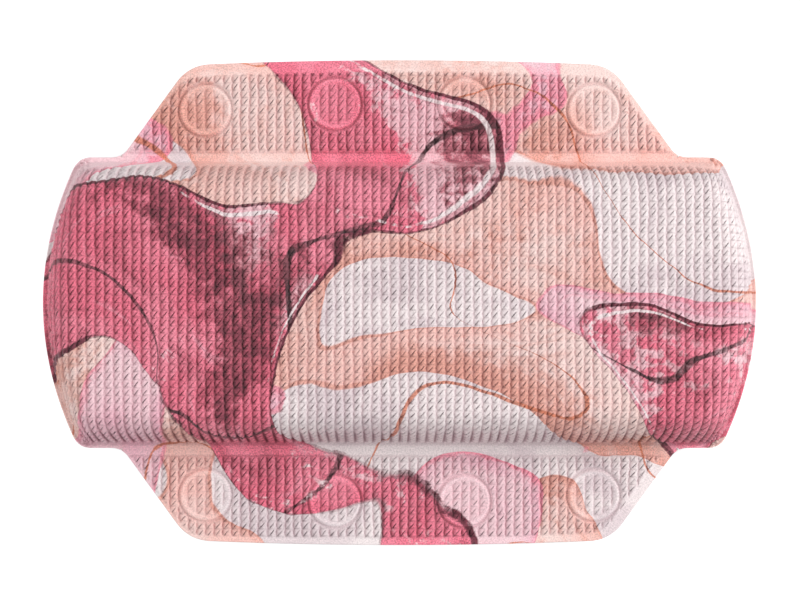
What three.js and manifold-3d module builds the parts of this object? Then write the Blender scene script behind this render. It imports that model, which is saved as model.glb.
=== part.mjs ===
// A bath pillow of heat-formed PVC foam: a padded centre with a flap above and below it,
// and four suction cups welded behind each flap. Millimetres. X runs along the pillow,
// Y up towards the upper flap and Z out of the front. The cups' rims lie in the plane Z = 0.
// The front and the back are one sheet each, parted here along the two weld bands, where
// the sheets bend when a flap is folded.

import * as THREE from "three";
import { mergeVertices } from "three/addons/utils/BufferGeometryUtils.js";
import Module from "manifold-3d";

const wasm = await Module();
wasm.setup();

// The pad and the welded flange round it, seen from the front
const pillowWidth = 320;
const padHeight = 130.4;
const endBow = 16;
const padCornerSetback = 5.5;
const padFootInset = 1.8;

// The flaps
const flapReach = 43.55;
const flapRootWidth = 249;
const flapTipWidth = 189;
const flapEdgeArch = 2.2;
const flapCornerSetback = 9.5;
const flapRootFillet = 5;

// The sheets, from the back to the front, with the gap kept between two that are welded
const backSheet = 0.8;
const sheetGap = 0.3;
const pressedSheet = 1.2;
const embossedRise = 0.8;
const coverWall = 2.6;

// The padded centre
const padRise = 34;
const padCrown = 1.4;
const shoulderWidth = 19.5;
const backSlopeWidth = 30;
const coreGap = 0.6;
const coreSideGap = 2;

// The upright ribs of the embossed front. The grooves between the stitches' columns are
// cut here at every fourth column.
const stitchColumn = 3.956;
const columnsPerRib = 4;
const ribGrooveWidth = 1.4;
const ribGrooveDepth = 0.6;

// The embossed panels of the flaps
const panelRootMargin = 3.2;
const panelSideMargin = 4.2;
const upperPanelMargin = 4.8;
const lowerPanelMargin = 2.6;
const panelBevel = 0.7;

// The fold along each weld band
const foldOffset = 1.8;
const foldClearance = 0.6;

// The suction cups
const rimRadius = 14;
const rimWidth = 0.9;
const lipHeight = 0.6;
const cavityDepth = 3.8;
const bellCrown = 1.6;
const neckRadius = 4.2;
const neckLength = 2.2;
const weldDiscRadius = 12;
const weldDisc = 1.4;
const cupsPerFlap = 4;
const cupSideInset = 22.26;
const cupRowInset = 19.4;
const cupRowBow = 3.15;

// The rings that the cups' welds leave in the front
const ringGrooveRadius = 12;
const ringGrooveWidth = 2.2;
const ringGrooveDepth = 0.8;
const ringRidgeRadius = 10.3;
const ringRidgeWidth = 1.1;
const ringRidgeRise = 0.25;
const weldRoundMargin = 0.4;

// How finely round forms are cut into facets
const lengthSteps = 4;
const heightSteps = 2;
const cupFacets = 24;
const bellFacets = 4;
const ringFacets = 24;
const foldFacets = 24;
const outlineFacets = 10;

// Shapes of curves: a power, and shares of the sizes that they bend
const shoulderPower = 3;
const grooveFootShare = 0.3;
const bellFullnessShare = 0.86;
const cavityFullnessShare = 0.72;

// Where the grid's lines lie: shares of the width of a shoulder or a slope, from its top
// to its foot, and shares of the way from the last groove to the pad's end
const shoulderShares = [1, 0.63, 0.33, 0.11, 0];
const slopeShares = [1, 0.78, 0.5, 0.22, 0];
const endShares = [0.35, 0.6, 0.78, 0.93, 1];

const cutOverrun = 5;

// Sizes that follow from the ones above
const halfWidth = pillowWidth / 2;
const padHalfHeight = padHeight / 2;
const flapEdgeY = padHalfHeight + flapReach;
const tipY = flapEdgeY - flapEdgeArch;
const flapSlope = (flapTipWidth - flapRootWidth) / 2 / (tipY - padHalfHeight);
const ribPitch = stitchColumn * columnsPerRib;
const bellHeight = cavityDepth + bellCrown;
const discBottom = bellHeight + neckLength;
const cupHeight = discBottom + weldDisc;
const backBottom = cupHeight + sheetGap;
const backTop = backBottom + backSheet;
const frontBottom = backTop + sheetGap;
const bandTop = frontBottom + pressedSheet;
const panelTop = bandTop + embossedRise;
const foldY = padHalfHeight + foldOffset;
const foldZ = (backBottom + bandTop) / 2;
const foldRadius = (bandTop - backBottom) / 2;

// Solids from closed three.js geometries, and back again

function solidOf(geometry) {
  const bare = geometry.clone();
  bare.deleteAttribute("normal");
  bare.deleteAttribute("uv");
  const merged = mergeVertices(bare);
  const mesh = new wasm.Mesh({
    numProp: 3,
    vertProperties: merged.attributes.position.array,
    triVerts: new Uint32Array(merged.index.array),
  });
  return new wasm.Manifold(mesh);
}

function geometryOf(solid) {
  const mesh = solid.getMesh();
  const geometry = new THREE.BufferGeometry();
  geometry.setAttribute("position", new THREE.BufferAttribute(mesh.vertProperties, 3));
  geometry.setIndex(new THREE.BufferAttribute(mesh.triVerts, 1));
  geometry.computeVertexNormals();
  return geometry;
}

function extruded(shape, low, high) {
  const geometry = new THREE.ExtrudeGeometry(shape, {
    depth: high - low,
    bevelEnabled: false,
    curveSegments: outlineFacets,
  });
  return geometry.translate(0, 0, low);
}

// Outlines

// Where the pillow's bowed end lies at height y, drawn in by inset.
function endAt(y, inset) {
  return halfWidth - inset - endBow * (y / padHalfHeight) ** 2;
}

function padOutline() {
  const top = padHalfHeight;
  const bowY = top - padCornerSetback;
  const cornerX = endAt(top, 0);
  const bowX = endAt(bowY, 0);
  const edgeX = cornerX - padCornerSetback;
  const bowControlX = 2 * halfWidth - bowX;
  const shape = new THREE.Shape();
  shape.moveTo(edgeX, top);
  shape.lineTo(-edgeX, top);
  shape.quadraticCurveTo(-cornerX, top, -bowX, bowY);
  shape.quadraticCurveTo(-bowControlX, 0, -bowX, -bowY);
  shape.quadraticCurveTo(-cornerX, -top, -edgeX, -top);
  shape.lineTo(edgeX, -top);
  shape.quadraticCurveTo(cornerX, -top, bowX, -bowY);
  shape.quadraticCurveTo(bowControlX, 0, bowX, bowY);
  shape.quadraticCurveTo(cornerX, top, edgeX, top);
  return shape;
}

// Where the upper flap's slanting side lies at height y, drawn in by inset.
function sideAt(y, inset) {
  const acrossInset = inset * Math.hypot(1, flapSlope);
  return flapRootWidth / 2 - acrossInset + flapSlope * (y - padHalfHeight);
}

// The upper flap, from just inside the pad's flange to its arched outer edge.
function flapOutline() {
  const root = new THREE.Vector2(flapRootWidth / 2, padHalfHeight);
  const tip = new THREE.Vector2(flapTipWidth / 2, tipY);
  const side = tip.clone().sub(root).normalize();
  const sideStart = root.clone().addScaledVector(side, flapRootFillet);
  const sideEnd = tip.clone().addScaledVector(side, -flapCornerSetback);
  const filletX = root.x + flapRootFillet;
  const insideY = padHalfHeight - cutOverrun;
  const edgeX = tip.x - flapCornerSetback;
  const archY = tipY + flapEdgeArch * (1 - (edgeX / tip.x) ** 2);
  const archControlY = 2 * (tipY + flapEdgeArch) - archY;
  const shape = new THREE.Shape();
  shape.moveTo(-filletX, insideY);
  shape.lineTo(filletX, insideY);
  shape.lineTo(filletX, root.y);
  shape.quadraticCurveTo(root.x, root.y, sideStart.x, sideStart.y);
  shape.lineTo(sideEnd.x, sideEnd.y);
  shape.quadraticCurveTo(tip.x, tip.y, edgeX, archY);
  shape.quadraticCurveTo(0, archControlY, -edgeX, archY);
  shape.quadraticCurveTo(-tip.x, tip.y, -sideEnd.x, sideEnd.y);
  shape.lineTo(-sideStart.x, sideStart.y);
  shape.quadraticCurveTo(-root.x, root.y, -filletX, root.y);
  return shape;
}

// The foot of a flap's embossed panel, drawn in from the flap's own outline.
function panelOutline(tipMargin) {
  const rootY = padHalfHeight + panelRootMargin;
  const topY = tipY - tipMargin;
  const rootX = sideAt(rootY, panelSideMargin);
  const tipX = sideAt(topY, panelSideMargin);
  const shoulderY = topY - flapCornerSetback;
  const shoulderX = sideAt(shoulderY, panelSideMargin);
  const shape = new THREE.Shape();
  shape.moveTo(-rootX, rootY);
  shape.lineTo(rootX, rootY);
  shape.lineTo(shoulderX, shoulderY);
  shape.quadraticCurveTo(tipX, topY, tipX - flapCornerSetback, topY);
  shape.quadraticCurveTo(0, topY + 2 * flapEdgeArch, flapCornerSetback - tipX, topY);
  shape.quadraticCurveTo(-tipX, topY, -shoulderX, shoulderY);
  return shape;
}

// Heights of the padded centre. A shoulder climbs from 0 at the foot to 1 on the plateau.

function shoulder(distance) {
  const climbed = THREE.MathUtils.clamp(distance / shoulderWidth, 0, 1);
  return 1 - (1 - climbed) ** shoulderPower;
}

// How steeply a shoulder climbs there, where its whole rise is 1.
function shoulderSlope(distance) {
  const left = 1 - THREE.MathUtils.clamp(distance / shoulderWidth, 0, 1);
  return shoulderPower * left ** (shoulderPower - 1) / shoulderWidth;
}

// Where a point of the plan lies, drawn in from the pad's ends and from its long edges.
function drawnIn(x, y, inset) {
  return [endAt(y, inset) - Math.abs(x), padHalfHeight - inset - Math.abs(y)];
}

function crownAt(x, y) {
  return padCrown * (1 - (x / halfWidth) ** 2) * (1 - (y / padHalfHeight) ** 2);
}

function domeHeight(x, y, inset, base, rise) {
  const [fromEnd, fromEdge] = drawnIn(x, y, inset);
  const climbed = shoulder(fromEnd) * shoulder(fromEdge);
  return base + climbed * (rise + crownAt(x, y));
}

// The back sheet slopes down from the weld to a flat panel level with the cups' rims.
function backDepth(x, y, inset) {
  const [fromEnd, fromEdge] = drawnIn(x, y, inset);
  const { smoothstep } = THREE.MathUtils;
  return backBottom * smoothstep(fromEnd, 0, backSlopeWidth) * smoothstep(fromEdge, 0, backSlopeWidth);
}

// The dome with the grooves between its ribs, cut square to its long walls.
function ribbedHeight(x, y) {
  const plain = domeHeight(x, y, padFootInset, bandTop, padRise);
  const [, fromEdge] = drawnIn(x, y, padFootInset);
  const offGroove = Math.abs(x - ribPitch * Math.round(x / ribPitch));
  const groove = Math.max(0, 1 - offGroove / (ribGrooveWidth / 2));
  const square = Math.hypot(1, padRise * shoulderSlope(fromEdge));
  return plain - groove * Math.min(ribGrooveDepth * square, grooveFootShare * (plain - bandTop));
}

// Lines of a grid from one side of the pad to the other: evenly over the middle, then at
// shares of a margin's width.
function gridLines(half, steps, margin, shares) {
  const outward = [];
  for (let step = 1; step < steps; step++) {
    outward.push((half - margin) * step / steps);
  }
  outward.push(...shares.map((share) => half - margin * share));
  return [...outward.map((place) => -place).reverse(), 0, ...outward];
}

// Lines of the ribbed cover's grid: three to a groove, then on to the pad's end.
function ribLines(y) {
  const cornerX = endAt(padHalfHeight, padFootInset);
  const count = Math.round(cornerX / ribPitch) - 1;
  const outward = [ribGrooveWidth / 2];
  for (let rib = 1; rib <= count; rib++) {
    const x = rib * ribPitch;
    outward.push(x - ribGrooveWidth / 2, x, x + ribGrooveWidth / 2);
  }
  const last = outward[outward.length - 1];
  const rest = endAt(y, padFootInset) - last;
  outward.push(...endShares.map((share) => last + rest * share));
  return [...outward.map((place) => -place).reverse(), 0, ...outward];
}

// A closed body between two height functions over a grid of the pad's plan, with rows at
// these places and in each row the columns that columnsAt gives.
function lens(rowLines, columnsAt, topAt, bottomAt) {
  const points = [];
  for (const heightAt of [bottomAt, topAt]) {
    for (const y of rowLines) {
      for (const x of columnsAt(y)) {
        points.push(x, y, heightAt(x, y));
      }
    }
  }
  const rows = rowLines.length - 1;
  const across = columnsAt(0).length;
  const columns = across - 1;
  const layer = across * rowLines.length;
  const faces = [];
  const quad = (a, b, c, d) => faces.push(a, b, c, a, c, d);
  for (let row = 0; row < rows; row++) {
    for (let column = 0; column < columns; column++) {
      const low = row * across + column;
      quad(low, low + across, low + across + 1, low + 1);
      const high = low + layer;
      quad(high, high + 1, high + across + 1, high + across);
    }
  }
  for (let column = 0; column < columns; column++) {
    const near = column;
    const far = rows * across + column;
    quad(near, near + 1, near + 1 + layer, near + layer);
    quad(far + 1, far, far + layer, far + 1 + layer);
  }
  for (let row = 0; row < rows; row++) {
    const left = row * across;
    const right = left + columns;
    quad(left + across, left, left + layer, left + across + layer);
    quad(right, right + across, right + across + layer, right + layer);
  }
  const geometry = new THREE.BufferGeometry();
  geometry.setAttribute("position", new THREE.Float32BufferAttribute(points, 3));
  geometry.setIndex(faces);
  return solidOf(geometry);
}

// A plain lens drawn in from the pad's foot line by inset.
function plainLens(inset, margin, shares, topAt, bottomAt) {
  const rows = gridLines(padHalfHeight - inset, heightSteps, margin, shares);
  const columnsAt = (y) => gridLines(endAt(y, inset), lengthSteps, margin, shares);
  return lens(rows, columnsAt, topAt, bottomAt);
}

// The folds: what lies beyond a weld band's fold line belongs to the flap, and its
// half-round end turns in a hollow edge of the pad.

function foldBar(radius) {
  const bar = new THREE.CylinderGeometry(radius, radius, pillowWidth, foldFacets);
  return bar.rotateZ(Math.PI / 2).translate(0, foldY, foldZ);
}

function beyondFold() {
  const depth = flapReach + cutOverrun;
  const height = bandTop + padRise;
  const block = new THREE.BoxGeometry(pillowWidth, depth, height);
  return block.translate(0, foldY + depth / 2, height / 2);
}

function padSheet(low, high) {
  let sheet = solidOf(extruded(padOutline(), low, high));
  for (const turn of [0, Math.PI]) {
    const root = solidOf(extruded(flapOutline(), low, high).rotateZ(turn));
    const hollow = solidOf(foldBar(foldRadius + foldClearance).rotateZ(turn));
    const flapSpace = solidOf(beyondFold().rotateZ(turn));
    sheet = sheet.add(root).subtract(flapSpace).subtract(hollow);
  }
  return sheet;
}

function flapSheet(low, high) {
  const kept = solidOf(beyondFold()).add(solidOf(foldBar(foldRadius)));
  return solidOf(extruded(flapOutline(), low, high)).intersect(kept);
}

// Pieces of the pad

function padFrontCover() {
  const outside = lens(
    gridLines(padHalfHeight - padFootInset, heightSteps, shoulderWidth, shoulderShares),
    ribLines,
    ribbedHeight,
    () => frontBottom,
  );
  const inner = padFootInset + coverWall;
  const innerRise = bandTop + padRise - coverWall - frontBottom;
  const inside = plainLens(
    inner,
    shoulderWidth,
    shoulderShares,
    (x, y) => domeHeight(x, y, inner, frontBottom, innerRise),
    () => frontBottom - cutOverrun,
  );
  return padSheet(frontBottom, bandTop).add(outside).subtract(inside);
}

function padBackSheet() {
  const inner = padFootInset + backSheet;
  const outside = plainLens(
    padFootInset,
    backSlopeWidth,
    slopeShares,
    () => backTop,
    (x, y) => backBottom - backDepth(x, y, padFootInset),
  );
  const inside = plainLens(
    inner,
    backSlopeWidth,
    slopeShares,
    () => backTop + cutOverrun,
    (x, y) => backTop - backDepth(x, y, inner),
  );
  return padSheet(backBottom, backTop).add(outside).subtract(inside);
}

function foamCore() {
  const inset = padFootInset + coverWall + coreSideGap;
  const bottom = backTop + coreGap;
  const edge = bottom + coreGap;
  const rise = bandTop + padRise - coverWall - coreGap - edge;
  return plainLens(
    inset,
    shoulderWidth,
    shoulderShares,
    (x, y) => domeHeight(x, y, inset, edge, rise),
    (x, y) => bottom - backDepth(x, y, inset),
  );
}

// Pieces of a flap

function turned(profile, facets) {
  return new THREE.LatheGeometry(profile, facets).rotateX(Math.PI / 2);
}

// A ring of three-sided section on the panel's face, which stands out of it by rise
// or, where that is negative, sinks into it.
function ring(radius, width, rise) {
  const section = [
    new THREE.Vector2(radius - width / 2, panelTop),
    new THREE.Vector2(radius + width / 2, panelTop),
    new THREE.Vector2(radius, panelTop + rise),
    new THREE.Vector2(radius - width / 2, panelTop),
  ];
  return turned(rise > 0 ? section : section.reverse(), ringFacets);
}

// The cups of a flap, evenly spaced between its slanting sides on a bowed row.
function cupPlaces() {
  const middleY = flapEdgeY - cupRowInset;
  const outerX = sideAt(middleY - cupRowBow, 0) - cupSideInset;
  const places = [];
  for (let cup = 0; cup < cupsPerFlap; cup++) {
    const along = 2 * cup / (cupsPerFlap - 1) - 1;
    places.push([outerX * along, middleY - cupRowBow * along ** 2]);
  }
  return places;
}

// The panel stands above the pressed sheet, its edges sloping inwards all round.
function embossedPanel(tipMargin) {
  const depth = panelTop - frontBottom - 2 * panelBevel;
  const geometry = new THREE.ExtrudeGeometry(panelOutline(tipMargin), {
    depth,
    bevelSize: panelBevel,
    bevelOffset: -panelBevel,
    bevelThickness: panelBevel,
    bevelSegments: 1,
    curveSegments: outlineFacets,
  });
  return solidOf(geometry.translate(0, 0, frontBottom + panelBevel));
}

// A groove between two ribs of a flap, of V section, all the way up the flap.
function ribGroove() {
  const section = new THREE.Shape();
  section.moveTo(0, -ribGrooveDepth);
  section.lineTo(ribGrooveWidth, ribGrooveDepth);
  section.lineTo(-ribGrooveWidth, ribGrooveDepth);
  const bar = new THREE.ExtrudeGeometry(section, { depth: flapReach, bevelEnabled: false });
  return bar.rotateX(Math.PI / 2).translate(0, flapEdgeY, panelTop);
}

// The round that a cup's weld presses smooth, up to the edge of its ring's groove.
function weldRound() {
  const radius = ringGrooveRadius + ringGrooveWidth / 2 + weldRoundMargin;
  const height = panelTop - frontBottom;
  const round = new THREE.CylinderGeometry(radius, radius, height, ringFacets);
  return round.rotateX(Math.PI / 2).translate(0, 0, frontBottom + height / 2);
}

function ribbedPanel(tipMargin) {
  let panel = embossedPanel(tipMargin);
  const count = Math.floor(sideAt(padHalfHeight, panelSideMargin) / ribPitch);
  for (let rib = -count; rib <= count; rib++) {
    panel = panel.subtract(solidOf(ribGroove().translate(rib * ribPitch, 0, 0)));
  }
  return panel;
}

function flapFront(tipMargin) {
  let sheet = flapSheet(frontBottom, bandTop).add(ribbedPanel(tipMargin));
  for (const [x, y] of cupPlaces()) {
    const groove = ring(ringGrooveRadius, ringGrooveWidth, -ringGrooveDepth);
    const ridge = ring(ringRidgeRadius, ringRidgeWidth, ringRidgeRise);
    sheet = sheet.add(solidOf(weldRound().translate(x, y, 0)));
    sheet = sheet.subtract(solidOf(groove.translate(x, y, 0)));
    sheet = sheet.add(solidOf(ridge.translate(x, y, 0)));
  }
  return sheet;
}

// A cup with its rim at Z = 0: a hollow bell, a neck and the disc that is welded on.
function suctionCup() {
  const rimInner = rimRadius - rimWidth;
  const cavity = new THREE.QuadraticBezierCurve(
    new THREE.Vector2(0, cavityDepth),
    new THREE.Vector2(rimInner * cavityFullnessShare, cavityDepth),
    new THREE.Vector2(rimInner, 0),
  );
  const bell = new THREE.QuadraticBezierCurve(
    new THREE.Vector2(rimRadius, lipHeight),
    new THREE.Vector2(rimRadius * bellFullnessShare, bellHeight),
    new THREE.Vector2(neckRadius, bellHeight),
  );
  const profile = [
    ...cavity.getPoints(bellFacets),
    new THREE.Vector2(rimRadius, 0),
    ...bell.getPoints(bellFacets),
    new THREE.Vector2(neckRadius, discBottom),
    new THREE.Vector2(weldDiscRadius, discBottom),
    new THREE.Vector2(weldDiscRadius, cupHeight),
    new THREE.Vector2(0, cupHeight),
  ];
  return solidOf(turned(profile, cupFacets));
}

// Materials

const printedFoam = new THREE.MeshStandardMaterial({ color: 0xe2a3a8, roughness: 0.62 });
const backVinyl = new THREE.MeshStandardMaterial({ color: 0xf1e9e6, roughness: 0.45 });
const foam = new THREE.MeshStandardMaterial({ color: 0xf2ead6, roughness: 0.95 });
const clearVinyl = new THREE.MeshStandardMaterial({ color: 0xe6e8ea, roughness: 0.2 });

function piece(name, solid, material) {
  const mesh = new THREE.Mesh(geometryOf(solid), material);
  mesh.name = name;
  return mesh;
}

function flap(name, tipMargin) {
  const group = new THREE.Group();
  group.add(piece(`${name}_front_sheet`, flapFront(tipMargin), printedFoam));
  group.add(piece(`${name}_back_sheet`, flapSheet(backBottom, backTop), backVinyl));
  const cup = suctionCup();
  cupPlaces().forEach(([x, y], index) => {
    const mesh = piece(`${name}_suction_cup_${index + 1}`, cup, clearVinyl);
    mesh.position.set(x, y, 0);
    group.add(mesh);
  });
  return group;
}

// The pillow

const pillow = new THREE.Group();
pillow.add(piece("pad_front_cover", padFrontCover(), printedFoam));
pillow.add(piece("pad_back_sheet", padBackSheet(), backVinyl));
pillow.add(piece("foam_core", foamCore(), foam));
pillow.add(flap("upper_flap", upperPanelMargin));

const lowerFlap = flap("lower_flap", lowerPanelMargin);
lowerFlap.rotation.z = Math.PI;
pillow.add(lowerFlap);

export default pillow;
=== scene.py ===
# The looks of a bath pillow of embossed vinyl foam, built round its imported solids.
# Lengths are in millimetres until a mesh is made or placed, and the frame is the solids'
# own: X along the pillow, Y towards the upper flap, Z out of the front.

import math

import bpy
import numpy as np
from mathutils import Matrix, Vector
from mathutils.geometry import delaunay_2d_cdt

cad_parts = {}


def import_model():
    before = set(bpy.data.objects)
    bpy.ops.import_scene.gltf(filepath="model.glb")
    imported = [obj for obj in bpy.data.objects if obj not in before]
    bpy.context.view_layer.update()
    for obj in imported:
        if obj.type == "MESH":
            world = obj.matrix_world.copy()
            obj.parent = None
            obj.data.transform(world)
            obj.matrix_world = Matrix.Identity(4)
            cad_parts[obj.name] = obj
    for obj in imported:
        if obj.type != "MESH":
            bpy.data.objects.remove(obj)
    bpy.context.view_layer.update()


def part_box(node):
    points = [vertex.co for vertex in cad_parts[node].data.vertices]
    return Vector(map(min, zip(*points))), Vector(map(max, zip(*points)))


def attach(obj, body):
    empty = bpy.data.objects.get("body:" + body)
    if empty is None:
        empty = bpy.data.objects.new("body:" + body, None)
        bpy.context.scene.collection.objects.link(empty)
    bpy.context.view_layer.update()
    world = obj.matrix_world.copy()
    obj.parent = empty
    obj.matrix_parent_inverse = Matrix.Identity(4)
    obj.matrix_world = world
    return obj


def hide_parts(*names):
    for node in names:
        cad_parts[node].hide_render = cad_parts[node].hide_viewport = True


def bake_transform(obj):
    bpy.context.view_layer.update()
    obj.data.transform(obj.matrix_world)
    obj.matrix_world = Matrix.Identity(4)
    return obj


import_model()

MM = 0.001


def corners_of(node):
    """The lowest and highest corner of a solid, in millimetres."""
    return [np.array(corner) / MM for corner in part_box(node)]


# Sizes read from the frame
cover_low, cover_high = corners_of("pad_front_cover")
flap_low, flap_high = corners_of("upper_flap_back_sheet")
cup_low, cup_high = corners_of("upper_flap_suction_cup_1")
HALF_WIDTH = cover_high[0]
FRONT_BOTTOM = cover_low[2]
PLATEAU = cover_high[2]
TIP_Y = flap_high[1]
BACK_BOTTOM = flap_low[2]
BACK_TOP = flap_high[2]
RIM_RADIUS = (cup_high[0] - cup_low[0]) / 2

# Sizes that the solids' corners don't give
HALF_HEIGHT = 65.2
END_BOW = 16
FOOT_INSET = 1.8
PAD_CORNER = 5.5
SHOULDER = 19.5
SHOULDER_POWER = 3
FOOT_FILLET = 0.035
CROWN = 1.4
BACK_SLOPE = 30
BACK_WALL = 0.8
PRESSED_SHEET = 1.2
COVER_WALL = 2.6
CORE_INSET = FOOT_INSET + COVER_WALL + 2
CORE_GAP = 0.6
RING_LEAD = 0.4
FLAP_ROOT = 124.5
FLAP_TIP = 94.5
FLAP_ARCH = 2.2
FLAP_CORNER = 9.5
FLAP_FILLET = 5
BAND_TOP = FRONT_BOTTOM + PRESSED_SHEET
WELD = (FRONT_BOTTOM + BACK_TOP) / 2
TIP_CORNER_Y = TIP_Y - FLAP_ARCH
FLAP_SLOPE = (FLAP_TIP - FLAP_ROOT) / (TIP_CORNER_Y - HALF_HEIGHT)

# Rounded rims of the sheets
FRONT_RIM = 0.65
BACK_RIM = 0.45
RIM_TURNS = (22.5, 45, 67.5, 90)
RIM_REACH = 1.5
# The rim and the drop to the weld of a sheet that looks forwards and of one that looks back
RIMS = {1: (FRONT_RIM, BAND_TOP - WELD), -1: (BACK_RIM, WELD - BACK_BOTTOM)}

# The camera looks straight down at the pillow, as the photograph was taken
CAMERA_PLACE = (0.2, 1.2, 802.5)
CAMERA_LENS = 79.4

# The embossed stitches: their pitch, the grid's lines as shares of it, the form of a rib and
# its nick, and how far chance changes them
COLUMN = 3.956
ROW = 3.33
STITCH_DEPTH = 0.78
NICK_START = (0.22, 0.14)
NICK_END = (0.70, 0.86)
PAD_SHARES = ((0, 0.22, 0.38, 0.54, 0.70, 0.86), (0, 0.14, 0.38, 0.62, 0.86))
FLAP_SHARES = ((0, 0.1, 0.22, 0.34, 0.46, 0.58, 0.7, 0.8, 0.9), (0, 0.14, 0.32, 0.5, 0.68, 0.86))
RIB_SHARES = (0, 0.10, 0.22, 0.38, 0.62, 0.80, 0.90, 1)
RIB_LEVELS = (0, 0.26, 0.56, 0.84, 1, 0.97, 0.72, 0)
NICK_DEPTHS = (0.8, 0.4)
NICK_LIP = 0.16
ROW_DIP = 0.2
SCALLOP = 0.26
SCALLOP_START = 0.1
CHANCE_SEED = 11
CHANCE_CELLS = 256
RIB_CHANCE = 0.12
NICK_CHANCE = 0.3
CREST_CHANCE = 0.05
# How much the stitches crowd on the walls, how far inside the foot, and over what width
WALL_CROWDING = (1.4, 1, 4.5)

# How far each uneven surface strays, and its waves: their seed, their count, and the
# shortest and longest of them
SLACK = (0.25, 3, 9, 45, 110)
PUCKERS = (1.2, 5, 10, 9, 22)
PUCKERS_BEGIN = (1, 11)
BACK_PUCKERS = (2, 31, 12, 10, 30)
BACK_PUCKERS_BEGIN = (0, 0.2)
PANEL_SLACK = (0.12, 21, 8, 14, 40)
STIPPLE = (0.2, 51, 14, 1.1, 2.6)
COLUMN_WANDER = (0.2, 61, 9, 9, 26)
ROW_WANDER = (0.16, 63, 9, 7, 20)
CREASES = (1, 71, 16, 1.7, 5.0)
CREASE_STRETCH = (0.5, 1.3)
CREASE_DEPTH = 0.5

# Where the cover's stitches begin along its long edges and its ends, how flat they are
# drawn on the end walls, and how much deeper they are on the lower wall
UPPER_BARE = 2.2
CORNER_BARE = 1.4
UPPER_CORNERS = (115, 145)
UPPER_EDGE = 1.3
LOWER_BARE = 0.3
LOWER_EDGE = 0.5
END_EDGE = (0.2, 3)
WALL_FOOT = (-0.2, 1.2)
WALL_TOP = (2, 9)
WALL_LOSS = 0.5
LOWER_WALL = (3, 9)
LOWER_BOOST = 0.6

# The flaps' embossed panels. Each flap has its own margins at the root, the tip and the
# right, and its left corner nearer to the tip by the last size.
PANEL_RISE = 0.8
PANEL_SLOPE = (-0.2, 1.3)
PANEL_EDGE = 1.1
PANEL_CORNER = 7.0
LEFT_MARGIN = 1.0
UPPER_PANEL = (1.9, 4.8, 1.9, 0)
LOWER_PANEL = (3.4, 2.8, 4.0, 1.1)

# The rings that the cups' welds leave in the front. A ring is given by its radius and half
# width, and an edge by where it begins and ends.
GROOVE_RADIUS = 12.0
GROOVE_EDGE = (0.3, 1.05)
GROOVE_DEPTH = 1.15
OUTER_EDGE = (GROOVE_RADIUS + 0.6, GROOVE_RADIUS + 1.2)
RIDGE = (10.4, 0.75)
RIDGE_RISE = 0.36
DISC_RADIUS = 9.9
DISC_EDGE = (DISC_RADIUS - 1.6, DISC_RADIUS)
DISC_STITCH = 0.78
RING_SINK = 0.35
STIPPLE_RING = (9.5, 2.4)

# The suction cups
CAVITY_DEPTH = 3.8
BELL_HEIGHT = 5.4
NECK_RADIUS = 4.2
DISC_BOTTOM = 7.6
WELD_DISC_RADIUS = 12
CUP_RIM_WIDTH = 0.9
CUP_FACETS = 72

# The round marks that the cups' welds leave in the back, by radius and half width
WELD_MARK = (WELD_DISC_RADIUS + 0.8, 1.2)
WELD_MARK_RISE = 0.25

# Grids: their first line, their end and their pitch, and how far they run on past an
# outline, then the numbers of lines and points in the coarse ones
PAD_BACK_COLUMNS = (-162, 162.5, 1.25)
PAD_BACK_ROWS = (-66.25, 66.5, 1.25)
FLAP_BACK_COLUMNS = (-132, 132.5, 1)
FLAP_BACK_PITCH = 0.75
INNER_COLUMNS = (-120, 121, 6.0)
INNER_PITCH = 1.5
INNER_MARGIN = 0.8
OVERRUN = 1
PAD_OVERRUN = 3
SIDE_OVERRUN = 8
COARSE_LINES = 31
FOOT_POINTS = (66, 145)
SHEET_SAMPLES = 1200
# The share of a step within which a point of a grid is moved onto the outline
NEAR = 0.4
# The gap between the two parts of the baking map, and the margin round them
MAP_GAP = 8
MAP_MARGIN = 2
# Edges are sharp past these angles, in degrees
SHEET_ANGLE = 75
CUP_ANGLE = 50

# The finish of the grooves and nicks
NICK_WIDTH = 0.25
GROOVE_WIDTH = 0.44
JOINT_WIDTH = 0.28
JOINT_BOW = -0.1
GROOVE_LEAN = 0.6
# Painted shade: how much of each colour a groove or nick keeps, in a dark print and in a pale one
WHITE = (1, 1, 1, 1)
DARK_GROOVE_SHADE = (0.2, 0.13, 0.15, 1)
PALE_GROOVE_SHADE = (0.78, 0.71, 0.73, 1)
DARK_NICK_SHADE = (0.34, 0.24, 0.26, 1)
PALE_NICK_SHADE = (0.4, 0.34, 0.37, 1)
# Painted shade of the same kind on the flange that the weld flattens at the ends, and in the
# grooves of the lower wall
FLANGE_SHADE = (0.8, 0.77, 0.78, 1)
LOWER_SHADE = (0.7, 0.62, 0.65, 1)
# How deep the foot of a form counts for its shade, and how wide that shade is
FOOT_SHADE = 0.5
FOOT_CREASE = (0.2, 1.1)
CREASE_SHADE = 0.45
FLANGE_EDGE = (-0.6, 0.2)
RING_SHADE = 0.7
ROOT_SHADE = 0.6
ROOT_CREASE = (0.1, 0.8)
# The grain's strength in a dark print and a pale one, and how much of it the stitches keep
DARK_FLECKS = 0.42
PALE_FLECKS = 0.14
STITCHED_FLECKS = 0.5

# One unit of the sheet's own map, which carries the print and the grain, and where on
# the endless print the pillow's sheet lies
SHEET_UNIT = 100
PRINT_PLACE = (-13.3, 5.2, 0)
# How the print's noise is warped, by scale, reach and detail, and then stretched
PRINT_WARPS = ((0.9, 1.0, 0.0), (2.4, 0.20, 0.0), (7.0, 0.022, 1.0))
PRINT_STRETCH = (0.85, 1.35, 1.0)

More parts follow.
